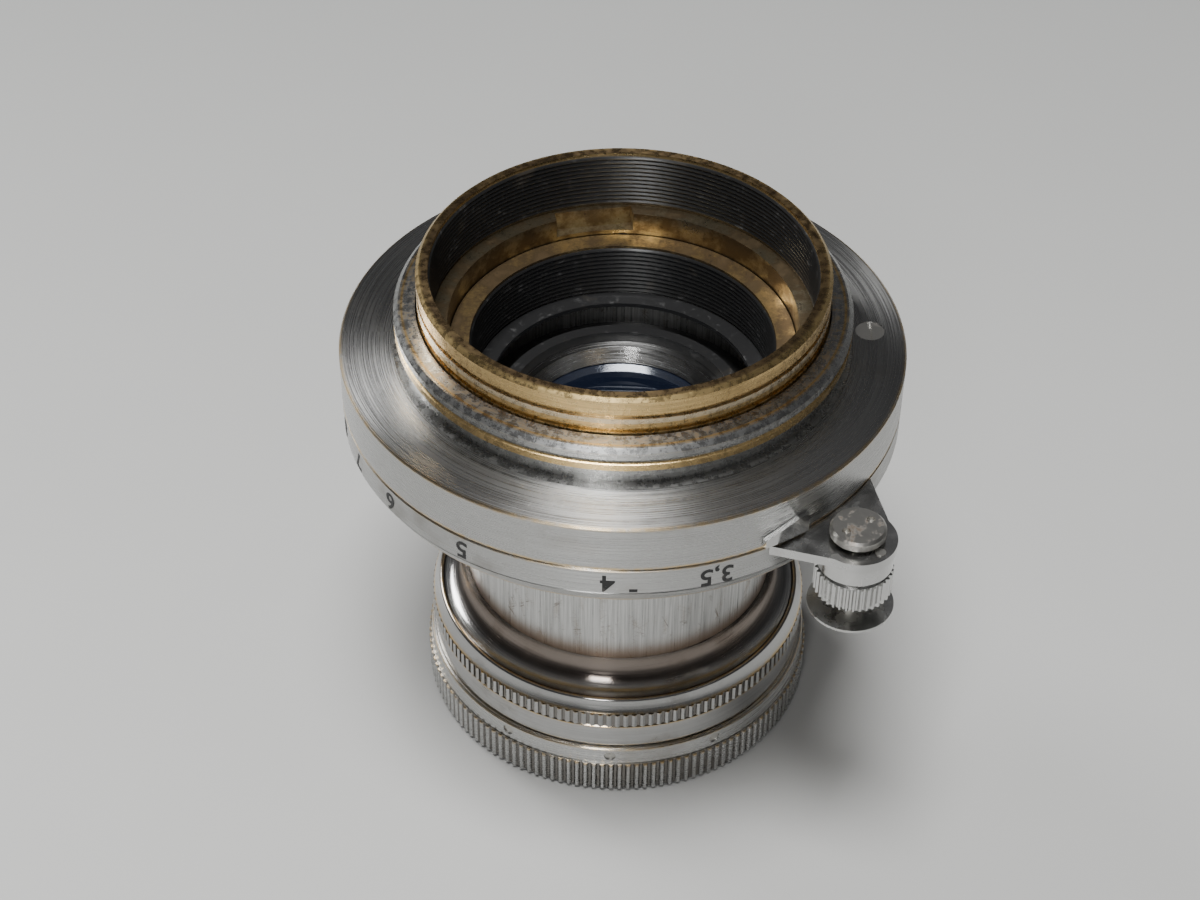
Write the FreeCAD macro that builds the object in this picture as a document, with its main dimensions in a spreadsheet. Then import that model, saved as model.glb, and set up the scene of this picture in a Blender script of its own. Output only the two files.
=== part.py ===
"""Collapsible 50 mm f/2 screw-mount lens, as separate pieces.

Millimetres. The optical axis is Z. The lens stands on its front rim at Z = 0
and its camera thread points up, along +Z.
"""
import FreeCAD, Part
import math
import os
import Sketcher
import PartDesign

SHEET = {
    # mount: thread collar, flange and outer helicoid
    "thread_radius": 19.5, "thread_root": 19.05, "thread_relief": 18.75,
    "collar_bore": 17.65, "collar_rear": 42.95, "collar_chamfer": 0.4,
    "thread_crest": 0.6, "thread_flank": 0.25,
    "flange_radius": 24.3, "flange_rear": 39.0, "flange_thick": 1.6,
    "band_wall": 1.9, "band_front": 34.65, "edge_break": 0.15,
    "shim_thick": 0.1, "carrier_flange": 1.3, "carrier_wall": 2.04,
    "carrier_front": 33.0,
    "screw_head_radius": 1.25, "screw_head_height": 0.8, "screw_shank_radius": 0.7,
    "screw_circle": 21.3, "screw_azimuth": 2.5, "screw_slot": 0.32, "screw_slot_depth": 0.35,
    "screw_length": 3.0,
    # focusing helicoid with its rangefinder cam
    "cam_radius": 17.5, "cam_bore": 16.45, "cam_rear": 46.5, "cam_chamfer": 0.3,
    "cam_band": 1.5, "cam_groove": 0.5, "cam_groove_depth": 0.25, "helicoid_front": 30.4,
    "key_width": 2.0, "key_low": 31.0, "key_high": 31.8, "key_reach": 16.75,
    "focus_travel": 2.85,
    # focus ring and its retainer
    "ring_rear": 34.5, "ring_line": 31.9, "ring_front": 30.3, "ring_front_radius": 23.3,
    "ring_recess": 21.2, "retainer_low": 32.2, "retainer_high": 32.85, "line_depth": 0.12,
    # lever, knob and infinity lock
    "lever_azimuth": 313.5, "lever_offset": 3.3, "lever_end": 3.3, "lever_thick": 0.9,
    "lever_root_width": 12.6, "lever_neck_width": 6.4,
    "drum_radius": 3.25, "drum_front": 29.0, "drum_floor": 0.8, "drum_cavity": 2.3,
    "drum_neck": 2.0, "pin_radius": 1.2, "pin_shoulder": 2.0, "shoulder_thick": 0.3,
    "cap_radius": 2.3, "cap_low": 35.0, "cap_high": 35.8, "cap_hole": 0.36, "cap_hole_offset": 1.25,
    "cap_hole_depth": 0.4, "button_radius": 3.6, "button_high": 27.3, "button_thick": 0.5,
    "spring_wire": 0.16, "spring_turns": 5.0, "spring_radius": 1.7,
    "catch_thick": 0.45, "catch_low": 34.85, "catch_high": 36.7, "catch_long": 4.2,
    "catch_screw_height": 0.3, "rivet_radius": 0.45, "rivet_offset": 2.5,
    # bayonet of the collapsible barrel
    "bayonet_bore": 15.0, "bayonet_rear": 40.9, "bayonet_front": 36.5, "lug_notch": 0.8,
    "notch_width": 7.0, "notch_depth": 1.8,
    "collar_rear_face": 36.3, "collar_front_face": 32.0, "collar_inner": 14.3,
    "felt_inner": 14.05, "keeper_front": 31.35, "stop_screw_radius": 0.8,
    # barrel
    "tube_radius": 14.0, "tube_bore": 13.2, "tube_front": 11.0, "tube_rear": 37.0,
    "lug_radius": 14.9, "lug_rear": 38.65, "baffle_width": 1.7, "baffle_rear": 33.4,
    "baffle_thick": 0.4,
    # glass and cells
    "rear_glass_radius": 8.8, "rear_glass_edge": 28.9, "rear_glass_crown": 29.6,
    "rear_glass_front": 27.0, "rear_cell_rear": 31.3, "rear_cell_front": 22.3,
    "rear_ring_radius": 9.9, "rear_ring_rear": 30.3, "cell_radius": 11.0,
    "rear_pair_rear": 26.6, "rear_pair_seam": 23.6, "rear_pair_front": 22.6,
    "front_glass_edge": 5.6, "front_glass_crown": 3.9,
    "front_glass_rear": 8.6, "front_pair_inset": 1.6, "front_pair_front": 9.4,
    "front_pair_seam": 13.0, "front_pair_rear": 14.6, "front_cell_rear": 16.2,
    "cell_gap": 0.2, "front_cell_wall": 0.8, "front_ring_front": 4.6, "glass_sag": 0.9,
    # iris
    "iris_base_front": 17.0, "iris_base_rear": 17.6, "iris_opening": 9.1,
    "blade_thick": 0.09, "blade_pitch": 0.17, "blade_first": 17.75, "blade_width": 1.5,
    "pivot_inset": 1.3, "blade_inset": 1.1, "blade_sweep": 112.0, "blade_pin": 0.35,
    "blade_eye": 0.7, "cover_front": 19.6, "cover_rear": 20.1, "cam_ring_front": 19.0,
    "cam_ring_rear": 19.4, "iris_cam_width": 1.5, "iris_cam_gap": 0.5,
    # front housing and aperture ring
    "bead_radius": 16.5, "bead_level": 10.7, "cove_level": 13.5, "grip_radius": 17.4,
    "grip_rear": 9.7, "grip_front": 7.95, "seam_level": 5.5, "knurl_depth": 0.22,
    "grip_teeth": 144, "snout_radius": 16.9, "filter_radius": 16.0, "filter_depth": 2.5,
    "trim_front": 3.3, "trim_thick": 0.7, "trim_step": 0.6, "thread_runout": 0.4, "aperture_gap": 0.25, "aperture_radius": 18.0,
    "aperture_band": 17.75, "aperture_grip_rear": 3.6, "drive_pin_radius": 0.5,
    "drive_slot_sweep": 74.0, "drum_teeth": 36,
    # fits
    "running_fit": 0.06, "seat_fit": 0.02, "clear_gap": 0.15,
}


class Size:
    """A length with its value and the sheet expression that gives it."""

    def __init__(self, value, text):
        self.value = value
        self.text = text

    def joined(self, other, sign, value):
        text = other.text if isinstance(other, Size) else repr(other)
        return Size(value, "(%s %s %s)" % (self.text, sign, text))

    def __add__(self, other):
        return self.joined(other, "+", self.value + number(other))

    def __sub__(self, other):
        return self.joined(other, "-", self.value - number(other))

    def __mul__(self, other):
        return self.joined(other, "*", self.value * number(other))

    def __truediv__(self, other):
        return self.joined(other, "/", self.value / number(other))


def number(value):
    return value.value if isinstance(value, Size) else value


document = FreeCAD.newDocument("screw_mount_lens")
PARTS = []


def fill_sheet():
    """Write the driving sizes and name their cells."""
    sheet = document.addObject("Spreadsheet::Sheet", "sizes")
    for row, (name, value) in enumerate(SHEET.items(), start=1):
        sheet.set("A%d" % row, name)
        sheet.set("B%d" % row, str(value))
        sheet.setAlias("B%d" % row, name)
    document.recompute()


def size(name):
    return Size(float(SHEET[name]), "sizes." + name)


AXIS = Size(0.0, "0")
GROUND = Size(0.0, "0")


def keep(piece, label):
    """Name a finished piece, which gets a file of its own."""
    piece.Label = label
    PARTS.append(piece)
    return piece


def hold(sketch, line, radius, level):
    """Fix the start of a profile line at a radius and a level."""
    if radius.value == 0.0:
        sketch.addConstraint(Sketcher.Constraint("PointOnObject", line, 1, -2))
    else:
        at = sketch.addConstraint(Sketcher.Constraint("DistanceX", -1, 1, line, 1, radius.value))
        sketch.setExpression("Constraints[%d]" % at, radius.text)
    if level.value == 0.0:
        sketch.addConstraint(Sketcher.Constraint("PointOnObject", line, 1, -1))
    else:
        at = sketch.addConstraint(Sketcher.Constraint("DistanceY", -1, 1, line, 1, level.value))
        sketch.setExpression("Constraints[%d]" % at, level.text)


def turned(name, corners):
    """A lathe-turned body whose half section has these corners."""
    body = document.addObject("PartDesign::Body", name)
    sketch = body.newObject("Sketcher::SketchObject", name + "_section")
    plane = [f for f in body.Origin.OriginFeatures if f.Role == "XZ_Plane"][0]
    sketch.AttachmentSupport = [(plane, "")]
    sketch.MapMode = "FlatFace"
    spots = [FreeCAD.Vector(r.value, z.value, 0) for r, z in corners]
    for index, spot in enumerate(spots):
        sketch.addGeometry(Part.LineSegment(spot, spots[(index + 1) % len(spots)]))
    for index in range(len(spots)):
        after = (index + 1) % len(spots)
        sketch.addConstraint(Sketcher.Constraint("Coincident", index, 2, after, 1))
    for index, (radius, level) in enumerate(corners):
        hold(sketch, index, radius, level)
    turn = body.newObject("PartDesign::Revolution", name + "_turned")
    turn.Profile = sketch
    turn.ReferenceAxis = (sketch, ["V_Axis"])
    turn.Angle = 360
    return body


def ring(name, inner, outer, low, high):
    """A plain turned ring."""
    return turned(name, [(inner, low), (outer, low), (outer, high), (inner, high)])


def bind(piece, **sizes):
    """Tie properties of a primitive to the sheet."""
    for path, value in sizes.items():
        if isinstance(value, Size):
            piece.setExpression(path.replace("_", "."), value.text)
        else:
            setattr(piece, path, value)
    return piece


def place(piece, x=None, y=None, z=None):
    """Tie a primitive's place to the sheet."""
    for axis, value in (("x", x), ("y", y), ("z", z)):
        if value is not None:
            piece.setExpression("Placement.Base." + axis, value.text)
    return piece


def rod(name, radius, low, high, x=None, y=None):
    """An upright cylinder between two levels."""
    piece = document.addObject("Part::Cylinder", name)
    bind(piece, Radius=radius, Height=high - low)
    return place(piece, x, y, low)


def block(name, long, wide, tall, x, y, z):
    """A box with its low corner at a place."""
    piece = document.addObject("Part::Box", name)
    bind(piece, Length=long, Width=wide, Height=tall)
    return place(piece, x, y, z)


def cut(name, base, *tools):
    """A piece with other shapes taken away."""
    result = base
    for index, tool in enumerate(tools):
        step = document.addObject("Part::Cut", "%s_cut_%d" % (name, index + 1))
        step.Base = result
        step.Tool = tool
        result = step
    return result


def fused(name, *pieces):
    """One solid made of several."""
    joined = document.addObject("Part::MultiFuse", name)
    joined.Shapes = list(pieces)
    joined.Refine = True
    return joined


def group(name, pieces):
    """Separate solids of one kind, kept together."""
    bundle = document.addObject("Part::Compound", name)
    bundle.Links = pieces
    return bundle


def turn_about_axis(piece, degrees):
    """Turn a finished piece about the optical axis."""
    piece.Placement = FreeCAD.Placement(
        FreeCAD.Vector(), FreeCAD.Rotation(FreeCAD.Vector(0, 0, 1), degrees))
    return piece


def toothed(name, root, tip, bore, low, high, teeth):
    """A ring with a straight knurl, its teeth worked out from their count."""
    count = int(number(teeth))
    step = 2 * math.pi / count
    outline = []
    for tooth in range(count):
        for part, radius in ((0.0, root), (0.22, tip), (0.5, tip), (0.72, root)):
            turn = (tooth + part) * step
            outline.append(FreeCAD.Vector(
                radius.value * math.cos(turn), radius.value * math.sin(turn), low.value))
    outline.append(outline[0])
    piece = document.addObject("Part::Feature", name)
    tall = high.value - low.value
    blank = Part.Face(Part.makePolygon(outline)).extrude(FreeCAD.Vector(0, 0, tall))
    hole = Part.makeCylinder(bore.value, tall + 2, FreeCAD.Vector(0, 0, low.value - 1))
    piece.Shape = blank.cut(hole)
    return piece


# Levels and radii that several pieces share.
fit = size("running_fit")
seat = size("seat_fit")
gap = size("clear_gap")
flange_rear = size("flange_rear")
disc_front = flange_rear - size("flange_thick")
carrier_rear = disc_front - size("shim_thick")
carrier_bore = size("cam_radius") + fit
carrier_outer = carrier_bore + size("carrier_wall")
neck_radius = size("thread_radius") + size("clear_gap")
lever_rear = size("ring_rear")
lever_centre = size("flange_radius") + size("lever_offset")
front_cell_outer = size("tube_bore") - size("cell_gap")
front_glass = front_cell_outer - size("front_cell_wall")
lever_front = lever_rear - size("lever_thick")


def screw_hole(name, radius, low, high):
    """A hole on the flange screw's centre line."""
    turn = math.radians(SHEET["screw_azimuth"])
    circle = size("screw_circle")
    return rod(name, radius, low, high, circle * math.cos(turn), circle * math.sin(turn))


def make_mount():
    """Flange, thread collar, shim, helicoid carrier and flange screw."""
    outer = size("flange_radius")
    wall = outer - size("band_wall")
    front = size("band_front")
    chip = size("edge_break")
    disc = turned("flange", [
        (neck_radius + seat, disc_front), (wall, disc_front), (wall, front), (outer, front),
        (outer, flange_rear - chip), (outer - chip, flange_rear), (neck_radius + seat, flange_rear)])
    head = screw_hole("head_hole", size("screw_head_radius") + seat,
                      flange_rear - size("screw_head_height"), flange_rear + 1)
    shank = screw_hole("shank_hole", size("screw_shank_radius") + seat, disc_front - 1, flange_rear)
    keep(cut("flange", disc, head, shank), "mount_body")

    tip = size("thread_radius")
    root = size("thread_root")
    bore = size("collar_bore")
    rear = size("collar_rear")
    crest = size("thread_crest")
    flank = size("thread_flank")
    chamfer = size("collar_chamfer")
    relief = size("thread_relief")
    first = rear - chamfer
    second = first - crest - flank - flank
    third = second - crest
    keep(turned("collar", [
        (bore, disc_front), (neck_radius, disc_front), (neck_radius, flange_rear + seat),
        (relief, flange_rear + seat), (relief, third - flank - flank), (root, third - flank),
        (tip, third), (tip, second), (root, second + flank), (tip, first - crest), (tip, first),
        (tip - chamfer, rear), (bore, rear)]), "thread_collar")

    shim = ring("shim", carrier_bore + gap, wall - gap, carrier_rear + 0.005, disc_front - 0.005)
    shim_hole = screw_hole("shim_hole", size("screw_shank_radius") + seat,
                           carrier_rear - 1, disc_front + 1)
    keep(cut("shim", shim, shim_hole), "flange_shim")

    step = carrier_rear - size("carrier_flange")
    carrier = turned("carrier", [
        (carrier_bore, size("carrier_front")), (carrier_outer, size("carrier_front")),
        (carrier_outer, step), (wall - gap, step), (wall - gap, carrier_rear),
        (carrier_bore, carrier_rear)])
    tapped = screw_hole("tapped_hole", size("screw_shank_radius") + seat, step - 1, carrier_rear + 1)
    keep(cut("carrier", carrier, tapped), "outer_helicoid")

    top = flange_rear - 0.03
    screw_head = screw_hole("screw_head", size("screw_head_radius"),
                            flange_rear - size("screw_head_height") + seat, top)
    screw_shank = screw_hole("screw_shank", size("screw_shank_radius"),
                             flange_rear - size("screw_length"), top)
    turn = math.radians(SHEET["screw_azimuth"])
    span = size("screw_head_radius") * 2.4
    slot = block("screw_slot", size("screw_slot"), span, size("screw_slot_depth") + 1,
                 size("screw_circle") * math.cos(turn) - size("screw_slot") / 2,
                 size("screw_circle") * math.sin(turn) - span / 2,
                 top - size("screw_slot_depth"))
    keep(cut("flange_screw", fused("screw_blank", screw_head, screw_shank), slot), "flange_screw")

    keep(ring("retainer", carrier_outer + seat, size("ring_recess") - gap,
              size("retainer_low"), size("retainer_high")), "ring_retainer")


def make_catch():
    """The ramp that the infinity lock rides up, and its two screws."""
    outer = size("flange_radius")
    low = size("catch_low")
    high = size("catch_high")
    rim = ring("catch_rim", outer + seat, outer + size("catch_thick"), low, high)
    far = outer + 2
    window = block("catch_window", far, size("catch_long"), high - low,
                   AXIS, size("catch_long") * -1, low)
    wedge = document.addObject("Part::Common", "catch_strip")
    wedge.Base = rim
    wedge.Tool = window
    ramp = block("catch_ramp", far, size("catch_long"), high - low,
                 AXIS, size("catch_long") * -1, high - (high - low) * 0.55)
    ramp.Placement.Rotation = FreeCAD.Rotation(FreeCAD.Vector(1, 0, 0), 18)
    start = SHEET["lever_azimuth"] - 6.0
    keep(turn_about_axis(cut("catch", wedge, ramp), start), "infinity_catch")
    screws = []
    for index in range(2):
        head = document.addObject("Part::Cylinder", "catch_screw_%d" % (index + 1))
        bind(head, Radius=size("rivet_radius"), Height=size("catch_screw_height"))
        inside = outer - size("band_wall") - size("catch_screw_height") - seat
        spin = FreeCAD.Rotation(FreeCAD.Vector(0, 0, 1), -2.6 - 5.2 * index)
        lay = FreeCAD.Rotation(FreeCAD.Vector(0, 1, 0), 90)
        spot = FreeCAD.Vector(inside.value, 0, low.value + size("rivet_radius").value + gap.value)
        head.Placement = FreeCAD.Placement(spin.multVec(spot), spin.multiply(lay))
        screws.append(head)
    keep(turn_about_axis(group("catch_screw_pair", screws), start), "catch_screws")


def make_focus_ring():
    """The scale ring and the key that drives the helicoid."""
    rear = size("ring_rear")
    line = size("ring_line")
    front = size("ring_front")
    outer = size("flange_radius")
    depth = size("line_depth")
    recess = size("ring_recess")
    land = size("carrier_front")
    chip = size("edge_break")
    keep(turned("scale", [
        (carrier_outer + fit, land), (recess, land), (recess, front),
        (size("ring_front_radius"), front), (outer - depth, line - depth), (outer - depth * 2, line),
        (outer, line + depth), (outer, rear - chip), (outer - chip, rear),
        (carrier_outer + fit, rear)]), "focus_ring")
    key = block("key_blank", recess - size("key_reach") - seat, size("key_width"),
                size("key_high") - size("key_low"), size("key_reach"), size("key_width") * -0.5,
                size("key_low"))
    keep(key, "guide_key")


def make_lever():
    """Lever plate, rivet, knob drum and the spring-loaded infinity lock."""
    swing = SHEET["lever_azimuth"]
    centre = lever_centre
    ring_edge = size("flange_radius")
    thick = size("lever_thick")
    root = size("lever_root_width") / 2
    neck = size("lever_neck_width") / 2
    plate = fused("lever_blank",
                  lever_web(root, neck, ring_edge - 1.2, centre + 0.6, thick),
                  rod("lever_tip", size("lever_end"), lever_front, lever_rear, centre))
    bore = rod("lever_bore", size("pin_radius") + fit, lever_front - 1, lever_rear + 1, centre)
    inside = rod("lever_inside", ring_edge + seat, lever_front - 1, lever_rear + 1)
    rivet_hole = rod("lever_rivet_hole", size("rivet_radius") + seat, lever_front - 1,
                     lever_rear + 1, centre + size("rivet_offset"))
    keep(turn_about_axis(cut("lever", plate, bore, inside, rivet_hole), swing), "lever_plate")
    out = centre + size("rivet_offset")
    turn = math.radians(swing)
    keep(rod("rivet", size("rivet_radius"), lever_front, lever_rear + 0.08,
             out * math.cos(turn), out * math.sin(turn)), "lever_rivet")

    drum = size("drum_radius")
    front = size("drum_front")
    cavity = size("drum_cavity")
    floor = front + size("drum_floor")
    root_radius = drum - size("knurl_depth")
    top = lever_front - seat
    neck_level = lever_front - size("drum_neck")
    hole = size("pin_radius") + fit
    shell = turned("drum_shell", [
        (hole, front), (root_radius - 0.1, front), (root_radius - 0.1, neck_level),
        (drum - 0.35, neck_level), (drum - 0.1, neck_level + 0.4), (drum - 0.1, top),
        (cavity, top), (cavity, floor), (hole, floor)])
    teeth = toothed("drum_knurl", root_radius, drum, root_radius - 0.3, front + 0.15,
                    neck_level - 0.1, size("drum_teeth"))
    knob = fused("drum", shell, teeth)
    knob.Placement = beside_axis(swing, centre.value)
    keep(knob, "knob_drum")

    rise = size("cap_low") - seat
    low = size("button_high") + seat
    pin = size("pin_radius")
    step = floor + gap
    shaft = turned("shaft", [
        (AXIS, low), (pin, low), (pin, step), (size("pin_shoulder"), step),
        (size("pin_shoulder"), step + size("shoulder_thick")), (pin, step + size("shoulder_thick")),
        (pin, rise), (AXIS, rise)])
    shaft.Placement = beside_axis(swing, centre.value)
    keep(shaft, "lock_pin")

    high = size("cap_high")
    cap_low = size("cap_low")
    cap = turned("cap", [
        (AXIS, cap_low), (size("cap_radius"), cap_low), (size("cap_radius"), high - 0.2),
        (size("cap_radius") - 0.2, high), (AXIS, high)])
    holes = [rod("cap_hole_%d" % side, size("cap_hole"), high - size("cap_hole_depth"), high + 1,
                 size("cap_hole_offset") * side) for side in (-1, 1)]
    lid = cut("cap", cap, *holes)
    lid.Placement = beside_axis(swing + 80, centre.value, swing)
    keep(lid, "lock_cap")

    edge = size("button_radius")
    button = size("button_high")
    saucer = turned("saucer", [
        (AXIS, button - size("button_thick")), (edge - 0.6, button - size("button_thick")),
        (edge, button - 0.25), (edge, button), (AXIS, button)])
    saucer.Placement = beside_axis(swing, centre.value)
    keep(saucer, "lock_button")

    wire = size("spring_wire")
    start = step + size("shoulder_thick") + wire + 0.05
    length = lever_front - start - wire - 0.05
    keep(coil_spring("spring", size("spring_radius"), wire, start, length, swing, centre),
         "lock_spring")


def lever_web(root, neck, near, far, thick):
    """The tapered part of the lever plate."""
    corners = [(near, root * -1), (far, neck * -1), (far, neck), (near, root)]
    points = [FreeCAD.Vector(x.value, y.value, lever_front.value) for x, y in corners]
    web = document.addObject("Part::Feature", "lever_web")
    web.Shape = Part.Face(Part.makePolygon(points + points[:1])).extrude(
        FreeCAD.Vector(0, 0, thick.value))
    return web


def beside_axis(degrees, distance, azimuth=None):
    """The place of a piece that stands beside the optical axis."""
    turn = math.radians(degrees if azimuth is None else azimuth)
    spot = FreeCAD.Vector(distance * math.cos(turn), distance * math.sin(turn), 0)
    return FreeCAD.Placement(spot, FreeCAD.Rotation(FreeCAD.Vector(0, 0, 1), degrees))


def coil_spring(name, radius, wire, start, length, azimuth, distance):
    """A round-wire compression spring about the lock pin."""
    turns = SHEET["spring_turns"]
    path = Part.makeHelix(length.value / turns, length.value, radius.value)
    section = Part.Wire(Part.makeCircle(
        wire.value, FreeCAD.Vector(radius.value, 0, 0), FreeCAD.Vector(0, 1, 0)))
    spring = document.addObject("Part::Feature", name)
    spring.Shape = Part.Wire(path.Edges).makePipeShell([section], True, True)
    placement = beside_axis(azimuth, distance.value)
    placement.Base.z = start.value
    spring.Placement = placement
    return spring


def make_helicoid():
    """The tube that carries the rangefinder cam, and the bayonet seat in it."""
    outer = size("cam_radius")
    bore = size("cam_bore")
    rear = size("cam_rear")
    chamfer = size("cam_chamfer")
    groove = rear - size("cam_band")
    depth = size("cam_groove_depth")
    width = size("cam_groove")
    second = groove - width - 0.9
    tube = turned("helicoid", [
        (bore, size("helicoid_front")), (outer, size("helicoid_front")),
        (outer, second - width), (outer - depth, second - width), (outer - depth, second),
        (outer, second), (outer, groove - width), (outer - depth, groove - width),
        (outer - depth, groove), (outer, groove), (outer, rear - chamfer),
        (outer - chamfer, rear), (bore, rear)])
    slot_width = size("key_width") + fit * 2
    slot = block("key_slot", outer - bore + 2, slot_width,
                 size("key_high") + size("focus_travel") + gap - size("helicoid_front") + 1,
                 bore - 1, slot_width * -0.5, size("helicoid_front") - 1)
    drilled = cross_rod("stop_hole", size("stop_screw_radius") + seat, bore - 2, outer + 1, 38.0)
    keep(cut("helicoid", tube, slot, drilled), "helicoid_tube")

    seat_rear = size("bayonet_rear")
    seat_front = size("bayonet_front")
    inner = size("bayonet_bore")
    bayonet = ring("bayonet", inner, bore - seat, seat_front, seat_rear)
    notches = []
    for index in range(3):
        notch = block("lug_notch_%d" % (index + 1), size("lug_notch") + 2, size("notch_width"),
                      size("notch_depth") + 1, inner - 2, size("notch_width") * -0.5,
                      seat_rear - size("notch_depth"))
        turned_notch = group("notch_turn_%d" % (index + 1), [notch])
        turn_about_axis(turned_notch, 100.0 + 120.0 * index)
        notches.append(turned_notch)
    tapped = cross_rod("bayonet_stop_hole", size("stop_screw_radius") + seat, inner - 1,
                       bore + 1, 38.0)
    keep(cut("bayonet", bayonet, tapped, *notches), "bayonet_ring")
    keep(cross_rod("stop", size("stop_screw_radius"), inner + gap, outer - gap, 38.0),
         "bayonet_stop_screw")
    keep(ring("keeper", size("collar_inner") + gap, bore - seat, size("keeper_front"),
              size("collar_front_face") - gap), "collar_keeper")


def cross_rod(name, radius, near, far, level):
    """A cylinder that points outwards along +Y."""
    piece = document.addObject("Part::Cylinder", name)
    bind(piece, Radius=radius, Height=far - near)
    piece.Placement = FreeCAD.Placement(
        FreeCAD.Vector(0, near.value, level), FreeCAD.Rotation(FreeCAD.Vector(1, 0, 0), -90))
    piece.setExpression("Placement.Base.y", near.text)
    return piece


def make_bayonet_collar():
    """The turning collar that grips the barrel, lined with felt."""
    inner = size("collar_inner")
    outer = size("cam_bore") - fit
    keep(ring("grip", inner, outer, size("collar_front_face"), size("collar_rear_face")),
         "bayonet_collar")
    keep(ring("felt", size("felt_inner"), inner - seat, size("collar_front_face"),
              size("collar_rear_face")), "felt_liner")


def make_barrel():
    """The sliding tube, its rear lug ring and the light baffle."""
    bore = size("tube_bore")
    outer = size("tube_radius")
    rear = size("tube_rear")
    keep(ring("tube", bore, outer, size("tube_front"), rear), "barrel_tube")
    keep(ring("lugs", bore, size("lug_radius"), rear + seat, size("lug_rear")), "barrel_lug_ring")
    high = size("baffle_rear")
    low = high - size("baffle_thick")
    disc = ring("stray_light", (bore - size("baffle_width")), bore - seat, low, high)
    notch = rod("baffle_notch", Size(0.9, "0.9"), low - 1, high + 1, (bore - size("baffle_width")) * -1)
    keep(cut("stray_light", disc, notch), "rear_baffle")


def lens(name, radius, front, rear, front_bow, rear_bow):
    """A round glass with bowed faces; a positive bow stands outwards."""
    steps = 5
    front_points = []
    rear_points = []
    for index in range(steps + 1):
        share = index / steps
        drop = 1 - share * share
        front_points.append((radius * share if index else AXIS, front - front_bow * drop))
        rear_points.append((radius * share if index else AXIS, rear + rear_bow * drop))
    return turned(name, front_points + rear_points[::-1])


def make_rear_optics():
    """Rear cell with a single glass and a cemented pair."""
    radius = size("rear_glass_radius")
    cell = size("cell_radius")
    bore = radius + seat
    ring_out = size("rear_ring_radius")
    rear = size("rear_cell_rear")
    ring_rear = size("rear_ring_rear")
    edge = size("rear_glass_edge")
    shelf = ring_rear - 1.0
    keep(turned("rear_cell_body", [
        (bore, size("rear_cell_front")), (size("tube_bore") - seat, size("rear_cell_front")),
        (size("tube_bore") - seat, rear - 1.4), (cell + 0.5, rear - 1.4), (cell, rear),
        (ring_out + seat, rear), (ring_out + seat, shelf), (bore, shelf)]), "rear_cell")
    keep(turned("rear_ring", [
        (radius - 0.5, edge + gap), (radius - seat, edge + gap), (radius - seat, shelf + seat),
        (ring_out, shelf + seat), (ring_out, ring_rear), (radius + 0.3, ring_rear)]),
        "rear_retaining_ring")
    crown = size("rear_glass_crown") - edge
    keep(lens("rear_single", radius, size("rear_glass_front"), edge, AXIS, crown), "rear_element")
    back = size("rear_pair_rear")
    seam = size("rear_pair_seam")
    front = size("rear_pair_front")
    sag = size("glass_sag")
    inner = radius - seat
    keep(lens("rear_pair_back", inner, seam + 0.01, back, sag * 0.4, AXIS), "rear_doublet_crown")
    keep(lens("rear_pair_front", inner, front, seam, AXIS - sag * 0.4, sag * -0.4),
         "rear_doublet_flint")


def make_front_optics():
    """Front cell with a cemented pair and the large front glass."""
    radius = front_glass
    cell = front_cell_outer
    small = (front_glass - size("front_pair_inset"))
    edge = size("front_glass_edge")
    front = size("front_ring_front")
    rear_face = size("front_glass_rear")
    keep(turned("front_cell_body", [
        (radius + seat, front), (cell, front), (cell, size("front_cell_rear")),
        (small + seat, size("front_cell_rear")), (small + seat, rear_face + seat * 2),
        (radius + seat, rear_face + seat * 2)]), "front_cell")
    bow = edge - size("front_glass_crown")
    keep(lens("front_single", radius, edge, rear_face, bow, AXIS - 0.5), "front_element")
    keep(turned("front_ring", [
        (radius - 0.5, front), (radius, front), (radius, edge - 0.1), (radius - 0.5, edge - 0.25)]),
        "front_retaining_ring")
    pair = size("front_pair_front")
    seam = size("front_pair_seam")
    back = size("front_pair_rear")
    sag = size("glass_sag")
    keep(lens("front_pair_one", small, pair, seam - 0.01, AXIS, sag * 0.4), "front_doublet_crown")
    keep(lens("front_pair_two", small, seam, back, sag * -0.4, AXIS - sag), "front_doublet_flint")


def make_iris():
    """Base, six blades on their pivots, the turning cam ring and the cover."""
    opening = size("iris_opening")
    bore = size("tube_bore")
    low = size("iris_base_front")
    high = size("iris_base_rear")
    pivot = (bore - size("pivot_inset"))
    count = 6
    base = ring("iris_floor", opening, bore - seat, low, high)
    holes = []
    for index in range(count):
        turn = math.radians(360.0 / count * index)
        holes.append(rod("pivot_hole_%d" % (index + 1), size("blade_pin") + fit, low - 1, high + 1,
                         pivot * math.cos(turn), pivot * math.sin(turn)))
    keep(cut("iris_floor", base, *holes), "iris_base")
    for index in range(count):
        keep(make_blade(index, 360.0 / count * index), "iris_blade_%d" % (index + 1))
    keep(ring("iris_lid", opening, bore - seat, size("cover_front"), size("cover_rear")),
         "iris_cover")


def make_blade(index, azimuth):
    """A thin crescent with an eye and a pivot pin."""
    low = size("blade_first") + size("blade_pitch") * index
    thick = size("blade_thick")
    pivot = size("tube_bore") - size("pivot_inset")
    outer = pivot - size("blade_inset")
    inner = outer - size("blade_width")
    name = "blade_%d" % (index + 1)
    outside = document.addObject("Part::Cylinder", name + "_outer")
    bind(outside, Radius=outer, Height=thick)
    outside.setExpression("Angle", "sizes.blade_sweep")
    place(outside, z=low)
    inside = rod(name + "_inner", inner, low - 1, low + 1 + thick)
    strip = cut(name + "_strip", outside, inside)
    eye = rod(name + "_eye", size("blade_eye"), low, low + thick, pivot)
    arm = block(name + "_arm", pivot - inner - 0.35, Size(0.9, "0.9"), thick, inner + 0.3,
                AXIS, low)
    pin = rod(name + "_pin", size("blade_pin"), size("iris_base_front") + 0.1, low + thick, pivot)
    blade = fused(name, strip, arm, eye, pin)
    return turn_about_axis(blade, azimuth)


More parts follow.
